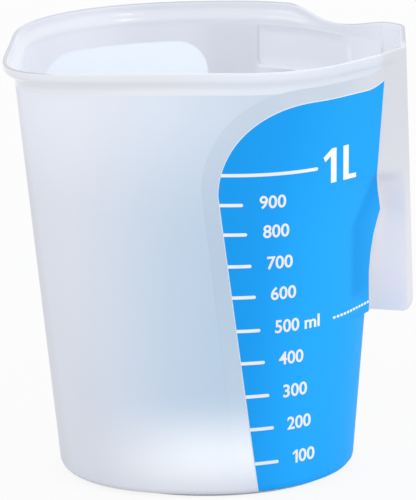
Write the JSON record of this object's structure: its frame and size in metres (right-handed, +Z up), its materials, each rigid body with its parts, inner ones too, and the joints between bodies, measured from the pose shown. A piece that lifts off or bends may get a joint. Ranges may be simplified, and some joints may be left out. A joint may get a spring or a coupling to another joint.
{
  "type": "measuring jug",
  "caption": "Tapered translucent plastic measuring jug with a corner pouring spout, a flared rim, a hollow folded handle with finger rests and a blue scale label.",
  "frame": {"origin": "centre of the round base on the table, which is also the bottom centre of the bounding box", "axes": "+Z up, +X towards the handle, -Y out of the side with the scale"},
  "size_m": [0.1393, 0.1046, 0.149],
  "materials": {
    "frosted_plastic": "finely frosted translucent polypropylene",
    "polished_plastic": "polished translucent polypropylene",
    "blue_label": "smooth printed film moulded into the wall",
    "white_print": "opaque white ink"
  },
  "bodies": {
    "root": {"base_floor": "frosted_plastic", "foot_ring": "frosted_plastic", "heel": "frosted_plastic", "lower_wall": "frosted_plastic", "back_wall": "frosted_plastic", "pouring_spout": "frosted_plastic", "front_wall": "frosted_plastic", "rear_rim": "polished_plastic", "spout_lip": "polished_plastic", "front_rim": "polished_plastic", "handle_rim": "polished_plastic", "near_finger_rest": "frosted_plastic", "far_finger_rest": "frosted_plastic", "near_cheek": "frosted_plastic", "far_cheek": "frosted_plastic", "grip_plate": "frosted_plastic", "handle_floor": "frosted_plastic", "label_film": "blue_label", "graduation_lines": "white_print", "litre_line": "white_print", "half_litre_line": "white_print"}
  },
  "joints": []
}
